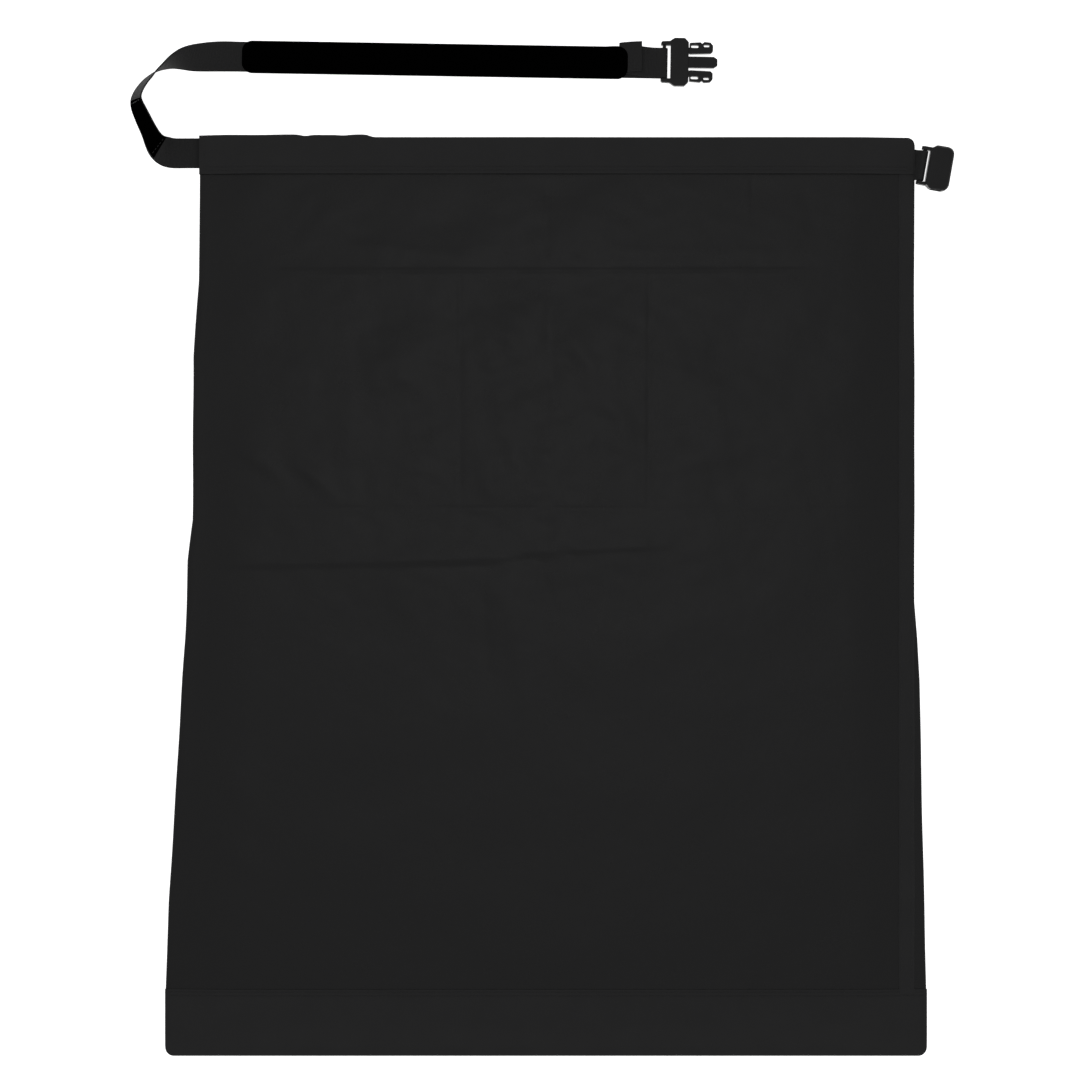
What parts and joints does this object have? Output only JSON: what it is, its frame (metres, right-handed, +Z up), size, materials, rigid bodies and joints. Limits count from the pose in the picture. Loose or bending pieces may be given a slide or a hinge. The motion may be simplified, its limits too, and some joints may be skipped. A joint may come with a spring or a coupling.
{
  "type": "roll-top film changing bag",
  "caption": "Large flat light-tight cloth bag with a stiffened roll-down mouth, a wide bottom band and a webbing closing strap that ends in a side-release buckle.",
  "frame": {"origin": "middle of the back panel's lower face, where the flat bag rests", "axes": "+X across the bag towards the socket half of the buckle, +Y from the bottom band to the mouth, +Z up out of the front panel"},
  "size_m": [0.6824, 0.8472, 0.025],
  "materials": {
    "shell_fabric": "coated plain-weave nylon with a faint silky sheen",
    "liner_fabric": "dense matt light-proof lining cloth",
    "seam_tape": "flat folded cloth tape, matt",
    "band_fabric": "heavier coated cloth, matt",
    "stiffener_strip": "flexible plastic strip sewn inside the hem",
    "webbing": "ribbed nylon webbing, matt",
    "strap_cover": "smooth black knitted sleeve",
    "label_cloth": "plain black woven label, blank",
    "buckle_plastic": "moulded black acetal, satin to glossy"
  },
  "bodies": {
    "bag": {"back_panel": "shell_fabric", "front_panel": "shell_fabric", "back_liner": "liner_fabric", "front_liner": "liner_fabric", "left_seam_fold": "shell_fabric", "right_seam_tape": "seam_tape", "bottom_band_back": "band_fabric", "bottom_band_front": "band_fabric", "bottom_seam": "band_fabric"},
    "turn_a": {"back_panel_turn_a": "shell_fabric", "front_panel_turn_a": "shell_fabric", "back_liner_turn_a": "liner_fabric", "front_liner_turn_a": "liner_fabric", "left_seam_fold_turn_a": "shell_fabric", "right_seam_tape_turn_a": "seam_tape"},
    "turn_b": {"back_panel_turn_b": "shell_fabric", "front_panel_turn_b": "shell_fabric", "back_liner_turn_b": "liner_fabric", "front_liner_turn_b": "liner_fabric", "left_seam_fold_turn_b": "shell_fabric", "right_seam_tape_turn_b": "seam_tape"},
    "hem": {"hem_back": "band_fabric", "hem_front": "band_fabric", "hem_back_facing": "liner_fabric", "hem_front_facing": "liner_fabric", "hem_stiffener": "stiffener_strip", "hem_webbing": "webbing", "hem_left_seam": "band_fabric", "hem_right_seam": "band_fabric", "strap_near": "webbing", "strap_label": "label_cloth", "socket_tab": "webbing"},
    "strap": {"strap_run": "webbing", "strap_cover": "strap_cover", "strap_end_loop": "webbing"},
    "plug": {"plug_body": "buckle_plastic"},
    "plug_arm_up": {"plug_arm_upper": "buckle_plastic"},
    "plug_arm_low": {"plug_arm_lower": "buckle_plastic"},
    "socket": {"socket_half": "buckle_plastic"}
  },
  "joints": [
    {"name": "roll_fold_a", "type": "hinge", "parent": "bag", "child": "turn_a", "pos_m": [0, 0.271, 0.01825], "axis": [1, 0, 0], "range_deg": [0, 180]},
    {"name": "roll_fold_b", "type": "hinge", "parent": "turn_a", "child": "turn_b", "pos_m": [0, 0.314, 0.01375], "axis": [1, 0, 0], "range_deg": [0, 180]},
    {"name": "roll_fold_hem", "type": "hinge", "parent": "turn_b", "child": "hem", "pos_m": [0, 0.3515, 0.00925], "axis": [1, 0, 0], "range_deg": [0, 180]},
    {"name": "strap_swing", "type": "hinge", "parent": "hem", "child": "strap", "pos_m": [-0.32435, 0.43375, 0.0125], "axis": [0, 0, 1], "range_deg": [-4, 60]},
    {"name": "plug_pivot", "type": "hinge", "parent": "strap", "child": "plug", "pos_m": [0.09832, 0.4448, 0.0038], "axis": [0.0164, 0.9999, 0], "range_deg": [-90, 0]},
    {"name": "arm_upper_flex", "type": "hinge", "parent": "plug", "child": "plug_arm_up", "pos_m": [0.11847, 0.45397, 0.0038], "axis": [0, 0, 1], "range_deg": [-6.5, 0], "stiffness_Nm_per_rad": 0.2},
    {"name": "arm_lower_flex", "type": "hinge", "parent": "plug", "child": "plug_arm_low", "pos_m": [0.11816, 0.43497, 0.0038], "axis": [0, 0, 1], "range_deg": [0, 6.5], "stiffness_Nm_per_rad": 0.2},
    {"name": "socket_pivot", "type": "hinge", "parent": "hem", "child": "socket", "pos_m": [0.3131, 0.35837, 0.0057], "axis": [0.1736, 0.9848, 0], "range_deg": [-60, 0]}
  ],
  "couplings": [
    {"joint": "arm_lower_flex", "follows": "arm_upper_flex", "ratio": -1}
  ]
}
